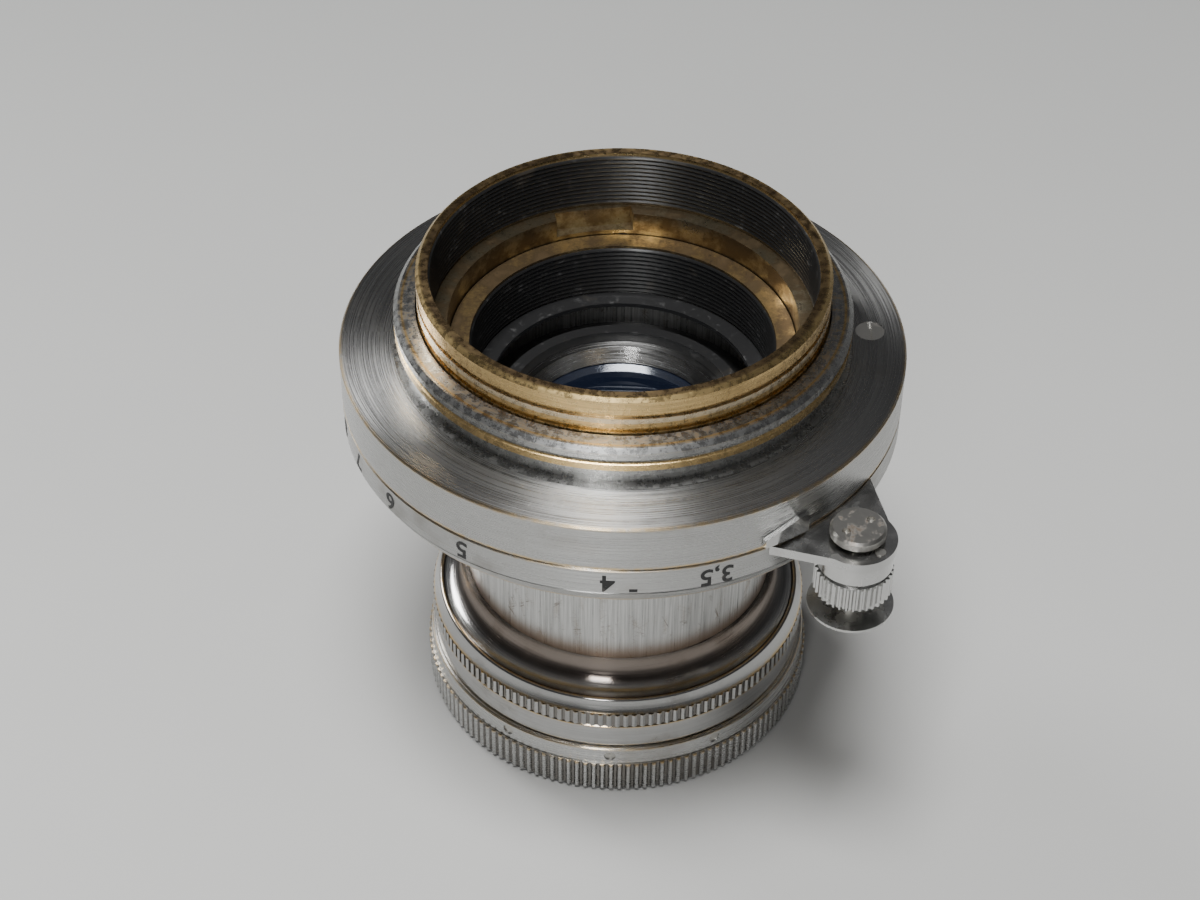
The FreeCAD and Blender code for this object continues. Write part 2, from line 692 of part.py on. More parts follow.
def make_housing():
    """The coved front housing with its knurl, and the blank trim ring."""
    tube = size("tube_radius")
    bead = size("bead_radius")
    level = size("bead_level")
    cove = size("cove_level")
    grip = size("grip_radius")
    rear = size("grip_rear")
    front = size("grip_front")
    seam = size("seam_level")
    snout = size("snout_radius")
    thread = size("filter_radius")
    inner = front_cell_outer + seat
    trim_bore = thread - size("trim_step")
    trim_rear = size("trim_front") + size("trim_thick") + seat
    trim_shelf = size("filter_depth") + size("thread_runout")
    profile = [(tube + seat, cove)]
    steps = 7
    for index in range(1, steps + 1):
        turn = math.radians(90.0 * index / steps)
        out = (bead - tube - 0.25) * (1 - math.cos(turn))
        down = (cove - level) * math.sin(turn)
        profile.append((tube + 0.02 + out, cove - down))
    profile += [
        (bead, level + 0.02), (bead + 0.2, level - 0.3), (grip - 0.15, rear + 0.15), (grip - 0.05, rear),
        (grip - 0.3, rear - 0.05), (grip - 0.3, front), (grip - 0.1, front - 0.1), (grip - 0.1, seam),
        (snout, seam), (snout, GROUND), (thread, GROUND), (thread, size("filter_depth")),
        (thread + gap, size("filter_depth") + 0.05), (thread + gap, trim_shelf),
        (trim_bore, trim_shelf), (trim_bore, trim_rear), (inner, trim_rear), (inner, size("tube_front") - seat),
        (tube + seat, size("tube_front") - seat)]
    shell = turned("housing_shell", profile)
    root = grip - size("knurl_depth")
    teeth = toothed("housing_knurl", root, grip, grip - 0.5, front + 0.1, rear - 0.1,
                    size("grip_teeth"))
    whole = fused("housing", shell, teeth)
    keep(cut("housing", whole, drive_slot()), "front_housing")
    trim = size("trim_front")
    hole = front_glass - 0.3
    keep(turned("trim", [
        (hole + 0.3, trim), (trim_bore - seat, trim), (trim_bore - seat, trim + size("trim_thick")),
        (hole, trim + size("trim_thick")), (hole, trim + 0.3)]), "trim_ring")


def drive_slot():
    """The arc slot that the aperture pin runs along."""
    reach = size("drive_pin_radius") + gap
    level = (size("aperture_grip_rear") + size("seam_level")) / 2
    sector = document.addObject("Part::Cylinder", "drive_sector")
    bind(sector, Radius=size("snout_radius") + 0.1, Height=reach * 2)
    sector.setExpression("Angle", "sizes.drive_slot_sweep + 8")
    place(sector, z=level - reach)
    turned_sector = group("drive_slot", [sector])
    return turn_about_axis(turned_sector, 180.0)


def make_aperture():
    """The knurled aperture ring, its drive pin, cam ring and grub screws."""
    rim = size("aperture_radius")
    band = size("aperture_band")
    bore = size("snout_radius") + fit
    low = size("aperture_gap")
    high = size("seam_level") - gap
    grip = size("aperture_grip_rear")
    shell = turned("aperture_shell", [
        (bore, low), (rim - 0.35, low), (rim - 0.35, grip), (band, grip + 0.1),
        (band - 0.1, high - 0.1), (band - 0.2, high), (bore, high)])
    teeth = toothed("aperture_knurl", rim - size("knurl_depth"), rim, rim - 0.6, low + 0.1,
                    grip - 0.05, size("grip_teeth"))
    whole = fused("aperture", shell, teeth)
    level = (grip + size("seam_level")) / 2
    holes = [grub("grub_hole_%d" % index, size("drive_pin_radius") + seat, bore - 1, rim + 1,
                  level, 236.0 + 32.0 * index) for index in range(3)]
    keep(cut("aperture", whole, *holes), "aperture_ring")
    screws = [grub("grub_%d" % index, size("drive_pin_radius"), bore + 0.05, band - 0.15, level,
                   236.0 + 32.0 * index) for index in range(3)]
    keep(group("grubs", screws), "aperture_grub_screws")
    keep(grub("drive", size("drive_pin_radius"), size("filter_radius") - 0.1, bore - 0.01, level,
              184.0), "aperture_drive_pin")
    cam_outer = size("tube_bore") - size("iris_cam_gap")
    keep(ring("iris_driver", cam_outer - size("iris_cam_width"), cam_outer,
              size("cam_ring_front"), size("cam_ring_rear")), "iris_cam_ring")


def grub(name, radius, near, far, level, azimuth):
    """A radial screw at an azimuth."""
    piece = document.addObject("Part::Cylinder", name)
    bind(piece, Radius=radius, Height=far - near)
    turn = math.radians(azimuth)
    spin = FreeCAD.Rotation(FreeCAD.Vector(0, 0, 1), azimuth)
    lay = FreeCAD.Rotation(FreeCAD.Vector(0, 1, 0), 90)
    piece.Placement = FreeCAD.Placement(
        FreeCAD.Vector(near.value * math.cos(turn), near.value * math.sin(turn), level.value),
        spin.multiply(lay))
    place(piece, near * math.cos(turn), near * math.sin(turn), level)
    return piece


def check_and_write():
    """Refuse a broken piece, then write every piece to its own file."""
    document.recompute()
    for piece in document.Objects:
        if "Invalid" in piece.State or "Error" in piece.State:
            raise RuntimeError("%s failed: %s" % (piece.Label, piece.State))
    for piece in PARTS:
        if piece.Shape.isNull() or not piece.Shape.isValid() or not piece.Shape.Solids:
            raise RuntimeError("%s has no valid solid" % piece.Label)
    os.makedirs("parts", exist_ok=True)
    for piece in PARTS:
        piece.Shape.exportStep("parts/%s.step" % piece.Label)
        print("%-22s solids %d volume %8.2f" % (
            piece.Label, len(piece.Shape.Solids), piece.Shape.Volume))


fill_sheet()
make_mount()
make_catch()
make_focus_ring()
make_lever()
make_helicoid()
make_bayonet_collar()
make_barrel()
make_rear_optics()
make_front_optics()
make_iris()
make_housing()
make_aperture()
check_and_write()
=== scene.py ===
"""Looks for a collapsible rangefinder lens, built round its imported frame."""

import math

import bmesh
import bpy
from bpy.props import FloatProperty, FloatVectorProperty, IntProperty, PointerProperty
from mathutils import Matrix, Vector


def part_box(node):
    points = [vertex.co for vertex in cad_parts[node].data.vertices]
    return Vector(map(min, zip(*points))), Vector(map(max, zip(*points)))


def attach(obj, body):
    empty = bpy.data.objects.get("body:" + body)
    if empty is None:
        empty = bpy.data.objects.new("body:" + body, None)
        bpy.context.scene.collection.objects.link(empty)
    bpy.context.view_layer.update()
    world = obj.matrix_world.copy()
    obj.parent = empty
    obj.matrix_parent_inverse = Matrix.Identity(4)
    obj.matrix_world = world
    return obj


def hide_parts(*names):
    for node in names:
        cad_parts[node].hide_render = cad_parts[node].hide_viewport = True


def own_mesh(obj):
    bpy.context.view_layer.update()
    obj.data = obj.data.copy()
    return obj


bl_info = {
    "name": "Rangefinder Lens Looks",
    "version": (1, 0, 0),
    "blender": (4, 5, 0),
    "location": "3D View > Sidebar > Lens",
    "description": "Metal finishes, scale, knurls and studio for a collapsible lens",
    "category": "Object",
}

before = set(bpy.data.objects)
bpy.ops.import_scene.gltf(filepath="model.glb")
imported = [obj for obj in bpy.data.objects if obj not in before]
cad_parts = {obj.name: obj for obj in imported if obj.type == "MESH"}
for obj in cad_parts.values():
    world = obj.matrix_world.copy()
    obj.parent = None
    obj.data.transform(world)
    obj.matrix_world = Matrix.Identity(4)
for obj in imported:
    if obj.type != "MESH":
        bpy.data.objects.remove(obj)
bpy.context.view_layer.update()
MM = 0.001
TURN = 2 * math.pi
SKIN = 0.02 * MM                # a turned shell stands off its neighbours by this
WELD = 0.0005 * MM              # corners closer than this are one corner
BLACK = (0.012, 0.012, 0.012)
EDGE_WEAR = 0.7                 # share of brass showing along a worn edge

INFINITY_AZIMUTH = -240.2       # degrees round the ring to the infinity mark
SCALE_SPREAD = 590.0            # degrees times feet, from infinity to a figure
FEET = ("3,5", "4", "5", "6", "7", "8", "10", "12", "15", "20", "30", "50", "100")
TICK_FEET = 3.87                # the short dash between 3,5 and 4
FIGURE_DROP = 1.45 * MM         # the figures' middle below the ring's rear edge
INK_DEPTH = 0.012 * MM
FONT_TO_DIGIT = 1.42            # text size for each unit of figure height

CAMERA_PLACE = (-0.00184, -0.1538, 0.16275)
CAMERA_FORWARD = (0.0, 0.7466, -0.6653)
CAMERA_ROLL = 0.7               # degrees
CAMERA_LENS = 68.9              # millimetres, on a sensor 36 wide
LIGHT_AIM = (0, 0, 0.03)
LIGHTS = (("key", (-0.05, -0.10, 0.72), 0.26, 8.5),      # name, place, size, power
          ("rear", (-0.45, 0.45, 0.50), 0.22, 3.2),
          ("front", (-0.12, -0.62, 0.42), 0.14, 1.3))
FLOOR_REACH = 3.0


def top(node):
    """The highest level of a CAD node."""
    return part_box(node)[1][2]


def foot(node):
    """The lowest level of a CAD node."""
    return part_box(node)[0][2]


def rim(node):
    """The outer radius of a turned CAD node that sits on the axis."""
    return max(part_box(node)[1][0], -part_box(node)[0][0])


class LensFinish(bpy.types.PropertyGroup):
    """Colours and wear of the metal."""
    chrome: FloatVectorProperty(
        name="Chrome", description="Colour of the satin plating", subtype="COLOR",
        size=3, default=(0.50, 0.50, 0.49), min=0, max=1)
    brass: FloatVectorProperty(
        name="Brass", description="Colour where the plating has worn through", subtype="COLOR",
        size=3, default=(0.60, 0.43, 0.20), min=0, max=1)
    tarnish: FloatVectorProperty(
        name="Tarnish", description="Colour of old brown brass", subtype="COLOR",
        size=3, default=(0.16, 0.115, 0.065), min=0, max=1)
    # Colour of dark specks on brass, and of the painted shade at the roots of the knurl teeth.
    grime_and_shade: FloatVectorProperty(
        name="Grime", description="Colour of dirt in the corners", subtype="COLOR",
        size=3, default=(0.07, 0.055, 0.04), min=0, max=1)


class LensDetail(bpy.types.PropertyGroup):
    """Sizes of the fine turned and cut detail."""
    knurl_count: IntProperty(
        name="Knurl teeth", description="Teeth round each grip", default=144, min=12, max=400)
    ridge_pitch: FloatProperty(
        name="Ridge pitch", description="Spacing of the blackened ridges in the bores",
        default=0.42 * MM, subtype="DISTANCE", unit="LENGTH")
    digit_height: FloatProperty(
        name="Digit height", description="Height of the distance figures",
        default=1.75 * MM, subtype="DISTANCE", unit="LENGTH")


class Wiring:
    """A short way to build one material's nodes."""

    def __init__(self, name):
        self.material = bpy.data.materials.new(name)
        self.material.use_nodes = True
        self.tree = self.material.node_tree
        self.shader = self.tree.nodes["Principled BSDF"]
        self.place = self.node("ShaderNodeTexCoord").outputs["Object"]
        split = self.node("ShaderNodeSeparateXYZ", self.place)
        self.height = split.outputs["Z"]
        flat = self.node("ShaderNodeVectorMath", self.place, (1, 1, 0))
        flat.operation = "MULTIPLY"
        length = self.node("ShaderNodeVectorMath", flat.outputs[0])
        length.operation = "LENGTH"
        self.radius = length.outputs["Value"]
        self.angle = self.math("ARCTAN2", split.outputs["Y"], split.outputs["X"])
        self.across = split.outputs["X"]
        self.depth = split.outputs["Y"]

    def node(self, kind, *values):
        made = self.tree.nodes.new(kind)
        for index, value in enumerate(values):
            self.feed(made.inputs[index], value)
        return made

    def feed(self, socket, value):
        if isinstance(value, bpy.types.NodeSocket):
            self.tree.links.new(value, socket)
        elif value is not None:
            socket.default_value = value

    def math(self, operation, *values):
        made = self.node("ShaderNodeMath", *values)
        made.operation = operation
        return made.outputs[0]

    def vector(self, x, y, z):
        return self.node("ShaderNodeCombineXYZ", x, y, z).outputs[0]

    def noise(self, scale, detail=3.0, roughness=0.55, at=None):
        made = self.node("ShaderNodeTexNoise")
        self.feed(made.inputs["Vector"], at or self.place)
        made.inputs["Scale"].default_value = scale
        made.inputs["Detail"].default_value = detail
        made.inputs["Roughness"].default_value = roughness
        return made.outputs["Fac"]

    def turning_marks(self, fineness, drift):
        """Fine rings round the axis that change slowly along the way."""
        return self.noise(1.0, 4.0, 0.6, self.vector(
            self.math("MULTIPLY", self.radius, fineness),
            self.math("MULTIPLY", self.angle, drift),
            self.math("MULTIPLY", self.height, fineness)))

    def ramp(self, value, low, high, start=0.0, end=1.0):
        made = self.node("ShaderNodeMapRange", value, low, high, start, end)
        made.interpolation_type = "SMOOTHSTEP"
        return made.outputs[0]

    def mix(self, share, one, two):
        made = self.tree.nodes.new("ShaderNodeMix")
        made.data_type = "RGBA"
        self.feed(made.inputs["Factor"], share)
        for socket, value in ((made.inputs["A"], one), (made.inputs["B"], two)):
            self.feed_colour(socket, value)
        return made.outputs["Result"]

    def feed_colour(self, socket, value):
        for candidate in socket.node.inputs:
            if candidate.name == socket.name and candidate.type == "RGBA":
                socket = candidate
        self.feed(socket, value if isinstance(value, bpy.types.NodeSocket) else (*value, 1.0))

    def near_edge(self, radius, level, width):
        """One along a turned edge, fading to none at a width from it."""
        out = self.math("SUBTRACT", self.radius, radius)
        up = self.math("SUBTRACT", self.height, level)
        apart = self.math("SQRT", self.math("ADD", self.math("MULTIPLY", out, out),
                                            self.math("MULTIPLY", up, up)))
        return self.ramp(apart, 0.0, width, 1.0, 0.0)

    def band(self, low, high, soft):
        """One between two levels."""
        rise = self.ramp(self.height, low - soft, low)
        fall = self.ramp(self.height, high, high + soft, 1.0, 0.0)
        return self.math("MULTIPLY", rise, fall)

    def bump(self, height, distance):
        made = self.node("ShaderNodeBump")
        made.inputs["Strength"].default_value = 1.0
        made.inputs["Distance"].default_value = distance
        self.feed(made.inputs["Height"], height)
        self.feed(self.shader.inputs["Normal"], made.outputs["Normal"])

    def turned_sheen(self, amount):
        """Stretch highlights across the turning marks, as a lathe finish does."""
        facing = self.place.node.outputs["Normal"]
        round_way = self.vector(self.math("MULTIPLY", self.depth, -1.0), self.across, 0.0)
        across = self.node("ShaderNodeVectorMath", facing, round_way)
        across.operation = "CROSS_PRODUCT"
        self.feed(self.shader.inputs["Tangent"], across.outputs[0])
        self.shader.inputs["Anisotropic"].default_value = amount

    def finish(self, colour, rough, metallic=1.0):
        self.feed_colour(self.shader.inputs["Base Color"], colour)
        self.feed(self.shader.inputs["Roughness"], rough)
        self.feed(self.shader.inputs["Metallic"], metallic)
        return self.material


def finish_values():
    return bpy.context.scene.lens_finish


def detail_values():
    return bpy.context.scene.lens_detail


def worn_chrome(name, edges=(), rough=0.3, lathe=1.0, scratch=1.0, dirt=0.5, around=True,
                tone=1.0, teeth=None):
    """Satin plating with turning marks, scratches, stains and brass at its edges, and painted
    shade at the roots of any knurl teeth.
    """
    looks = finish_values()
    w = Wiring(name)
    lines = w.turning_marks(9000.0, 1.6) if around else w.noise(500.0, 3.0)
    blotch = w.noise(170.0, 5.0, 0.62)
    fine = w.noise(1500.0, 4.0, 0.6)
    slant = w.vector(w.math("MULTIPLY", w.angle, 60.0), w.math("MULTIPLY", w.height, 350.0),
                     w.math("MULTIPLY", w.radius, 350.0))
    hairs = w.ramp(w.noise(3.2, 5.0, 0.75, slant), 0.60, 0.70)
    worn = 0.0
    for radius, level, width in edges:
        ragged = w.math("MULTIPLY", w.near_edge(radius, level, width),
                        w.ramp(fine, 0.30, 0.62, 0.35, 1.25))
        worn = w.math("MAXIMUM", worn, ragged)
    worn = w.math("MULTIPLY", worn, EDGE_WEAR)
    stained = w.ramp(blotch, 0.52, 0.74, 0.0, dirt)
    dark = tuple(c * (0.80 if around else 0.92) * tone for c in looks.chrome)
    if around:
        w.turned_sheen(0.9)
    plate = w.mix(w.ramp(lines, 0.30, 0.72), dark, tuple(c * tone for c in looks.chrome))
    plate = w.mix(w.math("MULTIPLY", stained, 0.45), plate, tuple(looks.tarnish))
    plate = w.mix(w.math("MULTIPLY", hairs, 0.35 * scratch), plate, (0.82, 0.82, 0.80))
    colour = w.mix(worn, plate, tuple(looks.brass))
    if teeth:
        tip, low, high = teeth
        # Painted shade at the roots of the knurl teeth, mixed in the grime colour.
        root_shade = w.math("MULTIPLY", w.band(low, high, 0.05 * MM),
                       w.ramp(w.radius, tip - 0.17 * MM, tip - 0.06 * MM, 1.0, 0.0))
        colour = w.mix(w.math("MULTIPLY", root_shade, 0.65), colour, tuple(looks.grime_and_shade))
    gloss = w.math("ADD", w.ramp(lines, 0.25, 0.75, rough - 0.07, rough + 0.09),
                   w.math("MULTIPLY", stained, 0.16))
    relief = w.math("ADD", w.math("MULTIPLY", lines, 0.6 * lathe),
                    w.math("MULTIPLY", w.math("ADD", fine, hairs), 0.25 * scratch))
    w.bump(relief, 0.004 * MM)
    return w.finish(colour, gloss)


def rubbed_tube(name, low):
    """Plating rubbed lengthwise by sliding, with crossing scratches and a brown foot."""
    looks = finish_values()
    w = Wiring(name)
    upright = w.vector(w.math("MULTIPLY", w.angle, 75.0), w.math("MULTIPLY", w.height, 90.0), 0.0)
    streaks = w.noise(1.0, 5.0, 0.7, upright)
    patches = w.noise(1.0, 4.0, 0.6, w.vector(w.math("MULTIPLY", w.angle, 14.0),
                                              w.math("MULTIPLY", w.height, 260.0), 0.0))
    scratches = 0.0
    for slope, reach in ((900.0, 0.018), (-700.0, 0.018), (250.0, 0.014), (-1900.0, 0.016)):
        line = w.noise(1.0, 1.5, 0.4, w.vector(
            w.math("ADD", w.math("MULTIPLY", w.angle, 9.0),
                   w.math("MULTIPLY", w.height, slope)),
            w.math("MULTIPLY", w.height, 60.0), slope))
        off = w.math("ABSOLUTE", w.math("SUBTRACT", line, 0.5))
        scratches = w.math("MAXIMUM", scratches, w.ramp(off, 0.0, reach * 0.35, 1.0, 0.0))
    scratches = w.math("MULTIPLY", scratches, w.ramp(patches, 0.50, 0.62, 0.0, 0.8))
    plate = w.mix(w.ramp(streaks, 0.32, 0.66), tuple(c * 0.72 for c in looks.chrome),
                  tuple(c * 1.25 for c in looks.chrome))
    plate = w.mix(scratches, plate, (0.16, 0.14, 0.12))
    plate = w.mix(w.ramp(patches, 0.55, 0.75, 0.0, 0.35), plate, (0.30, 0.22, 0.14))
    colour = w.mix(w.ramp(w.height, low + 2.6 * MM, low + 5.0 * MM, 0.85, 0.0), plate,
                   (0.20, 0.13, 0.08))
    w.turned_sheen(0.5)
    w.bump(w.math("SUBTRACT", w.math("MULTIPLY", streaks, 0.5), scratches), 0.006 * MM)
    return w.finish(colour, w.ramp(streaks, 0.3, 0.7, 0.26, 0.42))


def old_brass(name, shine=0.28, tarnish=0.5, low=0.42, high=0.66, metal=None):
    """Bare brass with brown tarnish and dark specks."""
    looks = finish_values()
    w = Wiring(name)
    blotch = w.noise(320.0, 6.0, 0.68)
    specks = w.ramp(w.noise(2100.0, 3.0), 0.62, 0.72)
    colour = w.mix(w.ramp(blotch, low, high, 0.0, tarnish), metal or tuple(looks.brass),
                   tuple(looks.tarnish))
    colour = w.mix(w.math("MULTIPLY", specks, 0.6), colour, tuple(looks.grime_and_shade))
    w.bump(w.noise(1800.0, 4.0), 0.012 * MM)
    return w.finish(colour, w.ramp(blotch, 0.3, 0.7, shine, shine + 0.2))


def blackened(name, grey=0.012, rough=0.42):
    """Black paint, dusty and rubbed in places."""
    w = Wiring(name)
    dust = w.ramp(w.noise(900.0, 5.0, 0.7), 0.56, 0.72)
    worn = w.ramp(w.noise(260.0, 4.0), 0.60, 0.72)
    colour = w.mix(w.math("MULTIPLY", dust, 0.35), (grey, grey, grey * 1.02),
                   (0.10, 0.10, 0.098))
    colour = w.mix(w.math("MULTIPLY", worn, 0.10), colour, (0.16, 0.13, 0.09))
    w.bump(w.noise(1600.0, 3.0), 0.010 * MM)
    made = w.finish(colour, w.ramp(dust, 0.0, 1.0, rough, rough + 0.2), 0.0)
    w.shader.inputs["Specular IOR Level"].default_value = 0.6
    return made


def steel(name, rough=0.34, rust=0.35):
    """Bare steel with brown spots."""
    w = Wiring(name)
    spots = w.ramp(w.noise(900.0, 5.0, 0.7), 0.52, 0.66, 0.0, rust)
    colour = w.mix(spots, (0.50, 0.49, 0.46), (0.16, 0.11, 0.07))
    w.bump(w.noise(1700.0, 3.0), 0.010 * MM)
    return w.finish(colour, w.ramp(spots, 0.0, 0.5, rough, rough + 0.2))


def coated_glass(name):
    """Old coated glass with a blue bloom and a little dust."""
    w = Wiring(name)
    haze = w.ramp(w.noise(700.0, 5.0, 0.7), 0.55, 0.8)
    colour = w.mix(haze, (0.006, 0.008, 0.014), (0.03, 0.035, 0.045))
    w.shader.inputs["Coat Weight"].default_value = 0.8
    w.shader.inputs["Coat Roughness"].default_value = 0.03
    w.shader.inputs["Coat Tint"].default_value = (0.75, 0.84, 1.0, 1.0)
    w.shader.inputs["IOR"].default_value = 1.7
    return w.finish(colour, w.ramp(haze, 0.0, 1.0, 0.04, 0.13), 0.0)


def paint(obj, material):
    """Give a piece or a CAD node one material in all its slots."""
    if not obj.material_slots:
        obj.data.materials.append(material)
    for place in obj.material_slots:
        place.material = material


def paint_nodes(material, *names):
    for name in names:
        paint(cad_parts[name], material)


def add_mesh(name, mesh, material, body, smooth_angle=32.0):
    """A finished piece at the origin, riding on a body."""
    obj = bpy.data.objects.new(name, mesh)
    bpy.context.scene.collection.objects.link(obj)
    mesh.polygons.foreach_set("use_smooth", [True] * len(mesh.polygons))
    mesh.set_sharp_from_angle(angle=math.radians(smooth_angle))
    paint(obj, material)
    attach(obj, body)
    return obj


def lathe(name, section, segments=240):
    """A closed ring of turned metal. The section is a closed loop of radius and level, in
    metres, that stays clear of the axis."""
    shape = bmesh.new()
    rings = [[shape.verts.new((radius * math.cos(TURN * i / segments),
                               radius * math.sin(TURN * i / segments), level))
              for i in range(segments)] for radius, level in section]
    for here, after in zip(rings, rings[1:] + rings[:1]):
        for i in range(segments):
            j = (i + 1) % segments
            shape.faces.new((here[i], here[j], after[j], after[i]))
    bmesh.ops.recalc_face_normals(shape, faces=shape.faces)
    mesh = bpy.data.meshes.new(name)
    shape.to_mesh(mesh)
    shape.free()
    return mesh


def knurl_tree():
    """Teeth round a ring: count, radius, level, width, depth and height are inputs."""
    tree = bpy.data.node_groups.new("Straight knurl", "GeometryNodeTree")
    face = tree.interface
    for label, kind in (("Count", "NodeSocketInt"), ("Radius", "NodeSocketFloat"),
                        ("Level", "NodeSocketFloat"), ("Width", "NodeSocketFloat"),
                        ("Depth", "NodeSocketFloat"), ("Height", "NodeSocketFloat"),
                        ("Material", "NodeSocketMaterial")):
        face.new_socket(label, in_out="INPUT", socket_type=kind)
    face.new_socket("Geometry", in_out="OUTPUT", socket_type="NodeSocketGeometry")
    nodes = tree.nodes
    link = tree.links.new
    given = nodes.new("NodeGroupInput").outputs
    ring = nodes.new("GeometryNodeMeshCircle")
    link(given["Count"], ring.inputs["Vertices"])
    link(given["Radius"], ring.inputs["Radius"])
    lift = nodes.new("ShaderNodeCombineXYZ")
    link(given["Level"], lift.inputs["Z"])
    raised = nodes.new("GeometryNodeTransform")
    link(ring.outputs["Mesh"], raised.inputs["Geometry"])
    link(lift.outputs[0], raised.inputs["Translation"])
    tooth = nodes.new("GeometryNodeMeshCylinder")
    tooth.inputs["Vertices"].default_value = 6
    link(given["Width"], tooth.inputs["Radius"])
    link(given["Height"], tooth.inputs["Depth"])
    squeeze = nodes.new("ShaderNodeCombineXYZ")
    ratio = nodes.new("ShaderNodeMath")
    ratio.operation = "DIVIDE"
    link(given["Depth"], ratio.inputs[0])
    link(given["Width"], ratio.inputs[1])
    link(ratio.outputs[0], squeeze.inputs["X"])
    squeeze.inputs["Y"].default_value = 1.0
    squeeze.inputs["Z"].default_value = 1.0
    shaped = nodes.new("GeometryNodeTransform")
    link(tooth.outputs["Mesh"], shaped.inputs["Geometry"])
    link(squeeze.outputs[0], shaped.inputs["Scale"])
    place = nodes.new("GeometryNodeInstanceOnPoints")
    link(raised.outputs[0], place.inputs["Points"])
    link(shaped.outputs[0], place.inputs["Instance"])
    spot = nodes.new("GeometryNodeInputPosition")
    outward = nodes.new("ShaderNodeVectorMath")
    outward.operation = "MULTIPLY"
    outward.inputs[1].default_value = (1, 1, 0)
    link(spot.outputs[0], outward.inputs[0])
    facing = nodes.new("FunctionNodeAlignRotationToVector")
    facing.axis = "X"
    facing.pivot_axis = "Z"
    link(outward.outputs[0], facing.inputs["Vector"])
    link(facing.outputs[0], place.inputs["Rotation"])
    real = nodes.new("GeometryNodeRealizeInstances")
    link(place.outputs[0], real.inputs[0])
    coat = nodes.new("GeometryNodeSetMaterial")
    link(real.outputs[0], coat.inputs["Geometry"])
    link(given["Material"], coat.inputs["Material"])
    out = nodes.new("NodeGroupOutput")
    link(coat.outputs[0], out.inputs[0])
    return tree


def knurl_mesh(name, material, **sizes):
    """Run the knurl tree once and keep its mesh."""
    tree = bpy.data.node_groups.get("Straight knurl") or knurl_tree()
    holder = bpy.data.objects.new(name + "_maker", bpy.data.meshes.new(name + "_maker"))
    bpy.context.scene.collection.objects.link(holder)
    modifier = holder.modifiers.new("Knurl", "NODES")
    modifier.node_group = tree
    for item in tree.interface.items_tree:
        if item.in_out == "INPUT":
            modifier[item.identifier] = material if item.name == "Material" else sizes[item.name]
    bpy.context.view_layer.update()
    graph = bpy.context.evaluated_depsgraph_get()
    mesh = bpy.data.meshes.new_from_object(holder.evaluated_get(graph))
    holder.modifiers.clear()
    bpy.data.objects.remove(holder)
    return mesh


class LENS_OT_mount(bpy.types.Operator):
    """Finish the flange, the thread collar and their small parts"""
    bl_idname = "lens.mount"
    bl_label = "Mount"

    def execute(self, context):
        disc = rim("mount_body")
        rear = top("mount_body")
        front = foot("mount_body")
        paint_nodes(worn_chrome("Flange chrome", [
            (disc, rear, 0.40 * MM), (disc, front, 0.30 * MM)], rough=0.27, dirt=0.35),
            "mount_body")
        thread = rim("thread_collar")
        crown = top("thread_collar")
        looks = finish_values()
        w = Wiring("Worn thread")
        lines = w.turning_marks(9000.0, 2.0)
        fine = w.noise(1400.0, 5.0, 0.7)
        w.turned_sheen(0.6)
        groove_low, groove_high = crown - 2.15 * MM, crown - 1.40 * MM
        gold = w.band(groove_low, groove_high, 0.06 * MM)
        face = w.math("MULTIPLY", w.ramp(w.height, crown - 0.02 * MM, crown),
                      w.ramp(fine, 0.50, 0.60, 0.0, 0.45))
        edge = w.near_edge(thread - 0.85 * MM, crown, 0.22 * MM)
        crest = w.near_edge(thread, crown - 0.4 * MM, 0.20 * MM)
        worn = w.math("MAXIMUM", w.math("MAXIMUM", gold, edge), w.math("MAXIMUM", face, crest))
        plate = w.mix(w.ramp(lines, 0.3, 0.7), (0.34, 0.34, 0.33), tuple(looks.chrome))
        colour = w.mix(worn, plate, tuple(looks.brass))
        colour = w.mix(w.ramp(w.noise(260.0, 5.0, 0.7), 0.60, 0.80, 0.0, 0.25), colour,
                       tuple(looks.tarnish))
        w.bump(w.math("ADD", lines, fine), 0.008 * MM)
        paint_nodes(w.finish(colour, w.ramp(fine, 0.3, 0.7, 0.20, 0.36)), "thread_collar")
        paint_nodes(old_brass("Brass fittings"), "flange_shim", "outer_helicoid",
                    "ring_retainer")
        paint_nodes(steel("Screw steel", 0.30, 0.30), "flange_screw", "catch_screws")
        paint_nodes(worn_chrome("Catch chrome", rough=0.18, dirt=0.2, around=False, tone=1.2),
                    "infinity_catch")
        return {"FINISHED"}


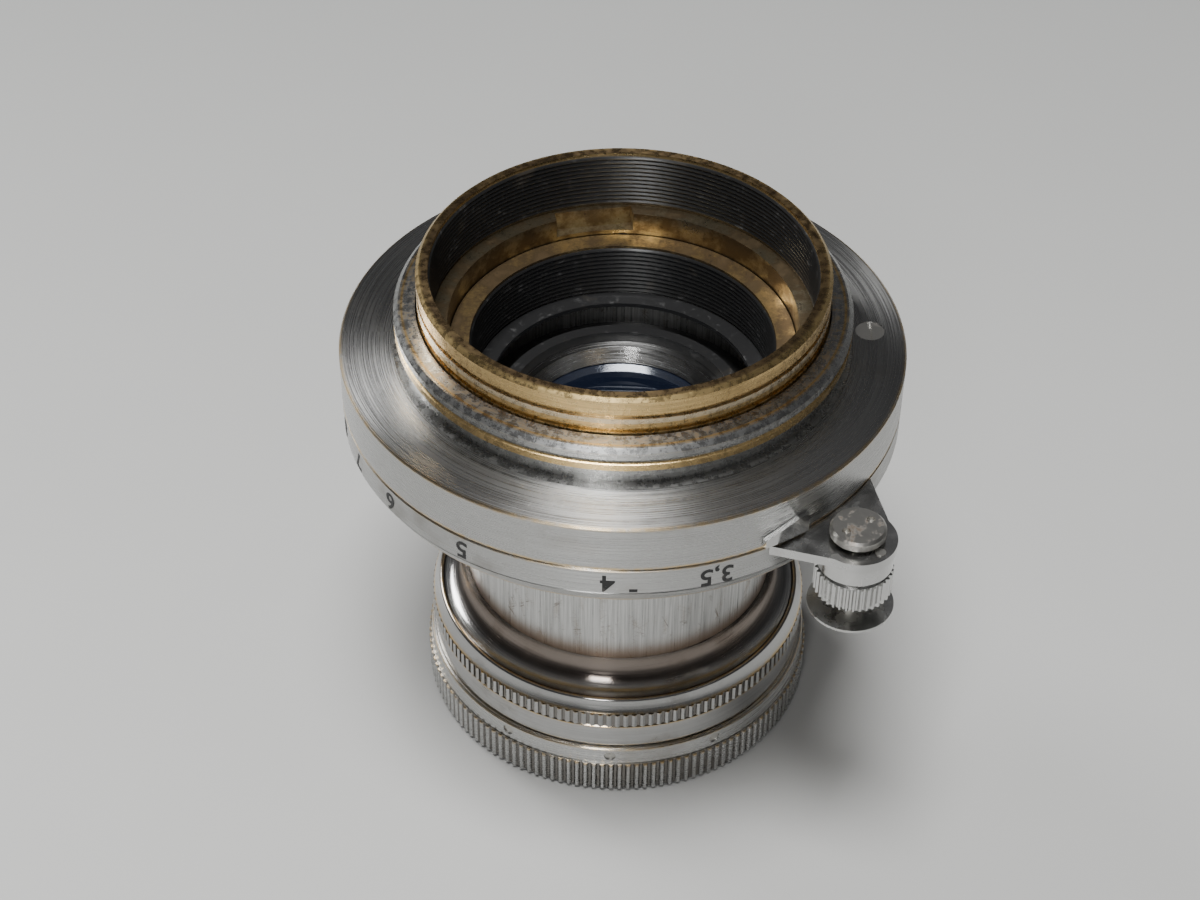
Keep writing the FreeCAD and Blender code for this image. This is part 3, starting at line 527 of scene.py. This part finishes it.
class LENS_OT_helicoid(bpy.types.Operator):
    """Finish the cam tube, its ridged black bore and the bayonet ring"""
    bl_idname = "lens.helicoid"
    bl_label = "Helicoid tube"

    def execute(self, context):
        looks = finish_values()
        tube = rim("helicoid_tube")
        crown = top("helicoid_tube")
        bore = rim("bayonet_ring")
        w = Wiring("Cam tube brass")
        fine = w.noise(1500.0, 5.0, 0.7)
        lines = w.turning_marks(8000.0, 2.0)
        tarnish = w.ramp(w.noise(300.0, 6.0, 0.7), 0.34, 0.62, 0.55, 1.0)
        outer_edge = w.near_edge(tube - 0.2 * MM, crown - 0.1 * MM, 0.42 * MM)
        w.turned_sheen(0.5)
        # A pale warm band painted round the brass tube as a highlight.
        painted_highlight_band = w.band(crown - 2.45 * MM, crown - 2.0 * MM, 0.06 * MM)
        brown = w.mix(tarnish, tuple(looks.brass), (0.21, 0.145, 0.08))
        side = w.mix(w.ramp(lines, 0.3, 0.7), tuple(c * 0.75 for c in looks.brass),
                     tuple(c * 1.15 for c in looks.brass))
        face = w.ramp(w.height, crown - 0.05 * MM, crown - 0.01 * MM)
        colour = w.mix(face, side, brown)
        colour = w.mix(outer_edge, colour, (0.60, 0.44, 0.20))
        colour = w.mix(w.math("MULTIPLY", painted_highlight_band, 0.7), colour, (0.66, 0.60, 0.48))
        inside = w.ramp(w.radius, bore - 0.02 * MM, bore + 0.12 * MM, 1.0, 0.0)
        deep = w.math("MULTIPLY", inside, w.ramp(w.height, crown - 0.5 * MM, crown - 0.1 * MM,
                                                 1.0, 0.0))
        colour = w.mix(deep, colour, BLACK)
        w.bump(w.math("ADD", w.math("MULTIPLY", lines, 0.7), fine), 0.010 * MM)
        metal = w.math("SUBTRACT", 1.0, deep)
        paint_nodes(w.finish(colour, w.ramp(fine, 0.3, 0.7, 0.20, 0.38), metal),
                    "helicoid_tube")
        dull_brass = (0.42, 0.36, 0.24)
        paint_nodes(old_brass("Bayonet brass", 0.26, 0.92, 0.38, 0.56, dull_brass),
                    "bayonet_ring", "bayonet_collar", "collar_keeper")
        paint_nodes(steel("Stop steel"), "bayonet_stop_screw", "guide_key")
        paint_nodes(blackened("Felt", 0.02, 0.8), "felt_liner")
        add_ridges("cam_bore_ridges", bore, top("bayonet_ring") + 0.15 * MM,
                   crown - 0.35 * MM, "helicoid")
        return {"FINISHED"}


def add_ridges(name, radius, low, high, body):
    """Fine black anti-reflection ridges on the wall of a bore."""
    depth = 0.13 * MM
    root = radius + 0.004 * MM
    count = int((high - low) / detail_values().ridge_pitch)
    step = (high - low) / count
    section = [(root, low)]
    for index in range(count):
        level = low + step * index
        section += [(radius - depth * 0.25, level + step * 0.08),
                    (radius - depth, level + step * 0.5),
                    (radius - depth * 0.25, level + step * 0.92)]
    section.append((root, high))
    paint_black = blackened(name + " paint", 0.010, 0.30)
    add_mesh(name, lathe(name, section, 160), paint_black, body, 20.0)


class LENS_OT_focus(bpy.types.Operator):
    """Finish the focus ring and cut its distance scale"""
    bl_idname = "lens.focus"
    bl_label = "Focus ring"

    def execute(self, context):
        outer = rim("focus_ring")
        rear = top("focus_ring")
        front = foot("focus_ring")
        paint_nodes(worn_chrome("Focus chrome", [
            (outer, rear, 0.30 * MM), (outer - 1.0 * MM, front, 0.45 * MM)], rough=0.30,
            dirt=0.55, scratch=1.3), "focus_ring")
        paint_nodes(worn_chrome("Lever chrome", rough=0.22, dirt=0.5, around=False, tone=1.1),
                    "lever_plate", "lock_button")
        paint_nodes(worn_chrome("Knob chrome", rough=0.20, dirt=0.3, around=False, tone=1.15),
                    "knob_drum")
        paint_nodes(steel("Lock steel", 0.30, 0.75), "lock_cap")
        pin_steel = steel("Pin steel")
        paint_nodes(pin_steel, "lever_rivet", "lock_pin")
        add_spring(pin_steel)
        add_scale(outer, rear)
        return {"FINISHED"}


def add_spring(material):
    """The lock spring, welded into one mesh and riding on the lock pin."""
    shape = bmesh.new()
    shape.from_mesh(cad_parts["lock_spring"].data)
    bmesh.ops.remove_doubles(shape, verts=shape.verts, dist=WELD)
    mesh = bpy.data.meshes.new("coiled_spring")
    shape.to_mesh(mesh)
    shape.free()
    spring = add_mesh("coiled_spring", mesh, material, "lock_pin", 40.0)
    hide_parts("lock_spring")
    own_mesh(spring)


def add_scale(outer, rear):
    """Black distance figures, spaced by the reciprocal of the distance in feet."""
    ink = Wiring("Engraved black")
    rubbed = ink.ramp(ink.noise(1500.0, 3.0), 0.58, 0.75, 0.0, 0.5)
    ink_material = ink.finish(ink.mix(rubbed, BLACK, (0.12, 0.11, 0.10)), 0.55, 0.0)
    level = rear - FIGURE_DROP
    figures = [(text, INFINITY_AZIMUTH + SCALE_SPREAD / float(text.replace(",", ".")))
               for text in FEET]
    figures += [("∞", INFINITY_AZIMUTH), ("-", INFINITY_AZIMUTH + SCALE_SPREAD / TICK_FEET)]
    whole = bmesh.new()
    for text, azimuth in figures:
        flat = figure_mesh(text)
        for vertex in flat.vertices:
            turn = math.radians(azimuth) - vertex.co.x / outer
            out = outer + vertex.co.z + INK_DEPTH
            vertex.co = (out * math.cos(turn), out * math.sin(turn), level - vertex.co.y)
        whole.from_mesh(flat)
        bpy.data.meshes.remove(flat)
    bmesh.ops.remove_doubles(whole, verts=whole.verts, dist=WELD)
    mesh = bpy.data.meshes.new("distance_scale")
    whole.to_mesh(mesh)
    whole.free()
    add_mesh("distance_scale", mesh, ink_material, "focus_ring")


def figure_mesh(text):
    """A small figure, centred, lying flat with a little thickness. The dash sits a little
    below the middle."""
    curve = bpy.data.curves.new("figure", "FONT")
    curve.body = text
    curve.size = detail_values().digit_height * FONT_TO_DIGIT
    curve.extrude = INK_DEPTH
    curve.offset = 0.035 * MM
    curve.resolution_u = 4
    curve.align_x = "CENTER"
    holder = bpy.data.objects.new("figure", curve)
    bpy.context.scene.collection.objects.link(holder)
    bpy.context.view_layer.update()
    graph = bpy.context.evaluated_depsgraph_get()
    mesh = bpy.data.meshes.new_from_object(holder.evaluated_get(graph))
    bpy.data.objects.remove(holder)
    middle = (max(v.co.y for v in mesh.vertices) + min(v.co.y for v in mesh.vertices)) / 2
    if text == "-":
        middle = -detail_values().digit_height * 0.1
    for vertex in mesh.vertices:
        vertex.co.y -= middle
    return mesh


class LENS_OT_barrel(bpy.types.Operator):
    """Finish the sliding tube, its black inside and the rear glass"""
    bl_idname = "lens.barrel"
    bl_label = "Barrel"

    def execute(self, context):
        paint_nodes(rubbed_tube("Tube chrome", foot("barrel_tube")), "barrel_tube")
        paint_nodes(old_brass("Barrel end brass", 0.32, 1.0, 0.34, 0.56), "barrel_lug_ring")
        bore = rim("rear_cell")
        add_ridges("barrel_bore_ridges", bore, top("rear_baffle") + 0.05 * MM,
                   top("barrel_lug_ring") - 0.25 * MM, "barrel")
        paint_nodes(blackened("Cell black", 0.012, 0.34), "rear_baffle", "rear_cell",
                    "front_cell", "trim_ring", "front_retaining_ring", "iris_base",
                    "iris_cover", "iris_cam_ring")
        paint_nodes(steel("Blade steel", 0.4, 0.2), *["iris_blade_%d" % n for n in range(1, 7)])
        paint_nodes(worn_chrome("Retainer chrome", rough=0.20, tone=1.2, dirt=0.2),
                    "rear_retaining_ring")
        glass = coated_glass("Coated glass")
        paint_nodes(glass, "rear_element", "front_element", "rear_doublet_crown",
                    "rear_doublet_flint", "front_doublet_crown", "front_doublet_flint")
        return {"FINISHED"}


def brown_cove(material, bead_level):
    """Stain the whole cove an old brown that fades out down its bead."""
    tree = material.node_tree
    shader = tree.nodes["Principled BSDF"]
    plate = shader.inputs["Base Color"].links[0].from_socket
    place = tree.nodes.new("ShaderNodeTexCoord")
    height = tree.nodes.new("ShaderNodeSeparateXYZ")
    tree.links.new(place.outputs["Object"], height.inputs[0])
    share = tree.nodes.new("ShaderNodeMapRange")
    tree.links.new(height.outputs["Z"], share.inputs[0])
    fade = 0.7 * MM
    for label, value in (("From Min", bead_level), ("From Max", bead_level + fade),
                         ("To Min", 0.0), ("To Max", 0.72)):
        share.inputs[label].default_value = value
    stain = tree.nodes.new("ShaderNodeMix")
    stain.data_type = "RGBA"
    first_colour, second_colour, mixed_colour = 6, 7, 2
    tree.links.new(share.outputs[0], stain.inputs[0])
    tree.links.new(plate, stain.inputs[first_colour])
    stain.inputs[second_colour].default_value = (0.15, 0.105, 0.075, 1.0)
    tree.links.new(stain.outputs[mixed_colour], shader.inputs["Base Color"])


class LENS_OT_front(bpy.types.Operator):
    """Build the smooth coved housing and finish the aperture ring"""
    bl_idname = "lens.front"
    bl_label = "Front housing"

    def execute(self, context):
        tube = rim("barrel_tube")
        grip = rim("front_housing")
        crown = top("front_housing")
        seam = top("aperture_ring") + 0.15 * MM
        snout = grip - 0.5 * MM
        base = foot("front_housing")
        wall = tube + SKIN
        trim_bore = rim("trim_ring") + SKIN
        trim_top = top("trim_ring") + SKIN
        thread = trim_bore + 0.6 * MM
        thread_end = 2.5 * MM
        run_out = thread + 0.15 * MM
        run_out_end = 2.9 * MM
        cell = rim("front_cell") + SKIN
        cell_end = crown - 2.52 * MM
        bead = grip - 0.9 * MM
        bead_level = crown - 2.8 * MM
        bead_round = 0.28 * MM
        cove_steps = 24
        bead_steps = 8
        section = [(wall, crown)]
        for index in range(1, cove_steps + 1):
            turn = math.radians(90.0 * index / cove_steps)
            section.append((wall + (bead - tube - 0.35 * MM) * (1 - math.cos(turn)),
                            crown - (crown - bead_level) * math.sin(turn)))
        for index in range(bead_steps + 1):
            turn = math.radians(180.0 - 180.0 / bead_steps * index)
            section.append((bead + SKIN + bead_round * math.cos(turn),
                            bead_level + bead_round * max(math.sin(turn), 0.0)))
        rear = crown - 3.8 * MM
        front = crown - 5.55 * MM
        section += [(grip - 0.18 * MM, rear + 0.16 * MM), (grip - 0.08 * MM, rear),
                    (grip - 0.22 * MM, rear - 0.12 * MM), (grip - 0.22 * MM, front + 0.12 * MM),
                    (grip - 0.12 * MM, front), (grip - 0.10 * MM, seam + 0.1 * MM),
                    (grip - 0.2 * MM, seam), (snout, seam), (snout, base), (thread, base),
                    (thread, thread_end), (run_out, thread_end + 0.05 * MM),
                    (run_out, run_out_end), (trim_bore, run_out_end), (trim_bore, trim_top),
                    (cell, trim_top), (cell, cell_end), (wall, cell_end)]
        chrome = worn_chrome("Housing chrome", [
            (bead, bead_level + bead_round, 0.25 * MM), (grip - 0.1 * MM, rear, 0.35 * MM),
            (grip - 0.1 * MM, front, 0.25 * MM), (grip - 0.2 * MM, seam, 0.35 * MM)],
            rough=0.15, dirt=0.7, scratch=0.5, lathe=0.5, tone=0.9,
            teeth=(grip, front + 0.12 * MM, rear - 0.12 * MM))
        brown_cove(chrome, bead_level)
        housing = add_mesh("housing_shell", lathe("housing_shell", section), chrome, "barrel")
        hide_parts("front_housing")
        tooth = 0.27 * MM
        knurled = knurl_mesh(
            "housing_knurl", chrome, Count=detail_values().knurl_count,
            Radius=grip - 0.26 * MM, Level=(rear + front) / 2, Width=tooth, Depth=tooth,
            Height=rear - front - 0.3 * MM)
        grip_piece = add_mesh("housing_knurl", knurled, chrome, "barrel", 50.0)
        wide = rim("aperture_ring")
        paint_nodes(worn_chrome("Aperture chrome", [
            (wide, foot("aperture_ring") + 3.3 * MM, 0.35 * MM),
            (wide - 0.3 * MM, top("aperture_ring"), 0.30 * MM)], rough=0.26, dirt=0.6,
            lathe=0.4, tone=1.1, teeth=(wide, foot("aperture_ring"), 3.5 * MM)),
            "aperture_ring")
        paint_nodes(steel("Grub steel", 0.4, 1.0), "aperture_grub_screws", "aperture_drive_pin")
        return {"FINISHED"}


class LENS_OT_stage(bpy.types.Operator):
    """Set the floor, the lights and the camera"""
    bl_idname = "lens.stage"
    bl_label = "Stage"

    def execute(self, context):
        floor_mesh = bpy.data.meshes.new("floor")
        wide = FLOOR_REACH
        floor_mesh.from_pydata([(-wide, -wide, 0), (wide, -wide, 0), (wide, wide, 0),
                                (-wide, wide, 0)], [], [(0, 1, 2, 3)])
        floor = bpy.data.objects.new("floor", floor_mesh)
        context.scene.collection.objects.link(floor)
        w = Wiring("Pale table")
        pale = w.mix(w.noise(40.0, 3.0), (0.40, 0.40, 0.39), (0.425, 0.425, 0.415))
        # The table is painted darker towards the back: a painted falloff of the light.
        painted_falloff = w.ramp(w.depth, -0.05, 0.28)
        paint(floor, w.finish(w.mix(painted_falloff, pale, (0.235, 0.24, 0.235)), 0.5, 0.0))
        world = bpy.data.worlds.new("Studio")
        world.use_nodes = True
        context.scene.world = world
        tree = world.node_tree
        sky = tree.nodes["Background"]
        sky.inputs["Strength"].default_value = 0.55
        place = tree.nodes.new("ShaderNodeTexCoord")
        height = tree.nodes.new("ShaderNodeSeparateXYZ")
        tree.links.new(place.outputs["Generated"], height.inputs[0])
        shade = tree.nodes.new("ShaderNodeValToRGB")
        tree.links.new(height.outputs["Z"], shade.inputs["Fac"])
        shade.color_ramp.elements[0].color = (0.30, 0.30, 0.30, 1)
        shade.color_ramp.elements[1].color = (0.9, 0.9, 0.92, 1)
        for level, grey in ((0.35, 0.12), (0.58, 0.08), (0.90, 0.45)):
            shade.color_ramp.elements.new(level).color = (grey, grey, grey * 1.02, 1)
        tree.links.new(shade.outputs["Color"], sky.inputs["Color"])
        for light in LIGHTS:
            add_light(*light)
        data = bpy.data.cameras.new("camera")
        data.sensor_width = 36.0
        data.lens = CAMERA_LENS
        data.clip_start = 0.01
        camera = bpy.data.objects.new("camera", data)
        context.scene.collection.objects.link(camera)
        turn = Vector(CAMERA_FORWARD).to_track_quat("-Z", "Y").to_matrix().to_4x4()
        roll = Matrix.Rotation(math.radians(CAMERA_ROLL), 4, "Z")
        camera.matrix_world = Matrix.Translation(CAMERA_PLACE) @ turn @ roll
        context.scene.camera = camera
        return {"FINISHED"}


def add_light(name, spot, size, power):
    """A square soft light that faces the lens."""
    data = bpy.data.lights.new(name, "AREA")
    data.size = size
    data.energy = power
    light = bpy.data.objects.new(name, data)
    bpy.context.scene.collection.objects.link(light)
    aim = Vector(LIGHT_AIM) - Vector(spot)
    light.matrix_world = (Matrix.Translation(spot)
                          @ aim.to_track_quat("-Z", "Y").to_matrix().to_4x4())


class LENS_PT_panel(bpy.types.Panel):
    """Lists the sizes, the colours and the pieces"""
    bl_label = "Lens"
    bl_idname = "LENS_PT_panel"
    bl_space_type = "VIEW_3D"
    bl_region_type = "UI"
    bl_category = "Lens"

    def draw(self, context):
        for group in (context.scene.lens_finish, context.scene.lens_detail):
            for name in group.__annotations__:
                self.layout.prop(group, name)
        for operator in OPERATORS:
            self.layout.operator(operator.bl_idname)


OPERATORS = (LENS_OT_stage, LENS_OT_mount, LENS_OT_helicoid, LENS_OT_focus, LENS_OT_barrel,
             LENS_OT_front)
CLASSES = (LensFinish, LensDetail, *OPERATORS, LENS_PT_panel)


def register():
    for item in CLASSES:
        bpy.utils.register_class(item)
    bpy.types.Scene.lens_finish = PointerProperty(type=LensFinish)
    bpy.types.Scene.lens_detail = PointerProperty(type=LensDetail)


def unregister():
    del bpy.types.Scene.lens_detail
    del bpy.types.Scene.lens_finish
    for item in reversed(CLASSES):
        bpy.utils.unregister_class(item)


def main():
    register()
    bpy.ops.lens.stage()
    bpy.ops.lens.mount()
    bpy.ops.lens.helicoid()
    bpy.ops.lens.focus()
    bpy.ops.lens.barrel()
    bpy.ops.lens.front()


if __name__ == "__main__":
    main()
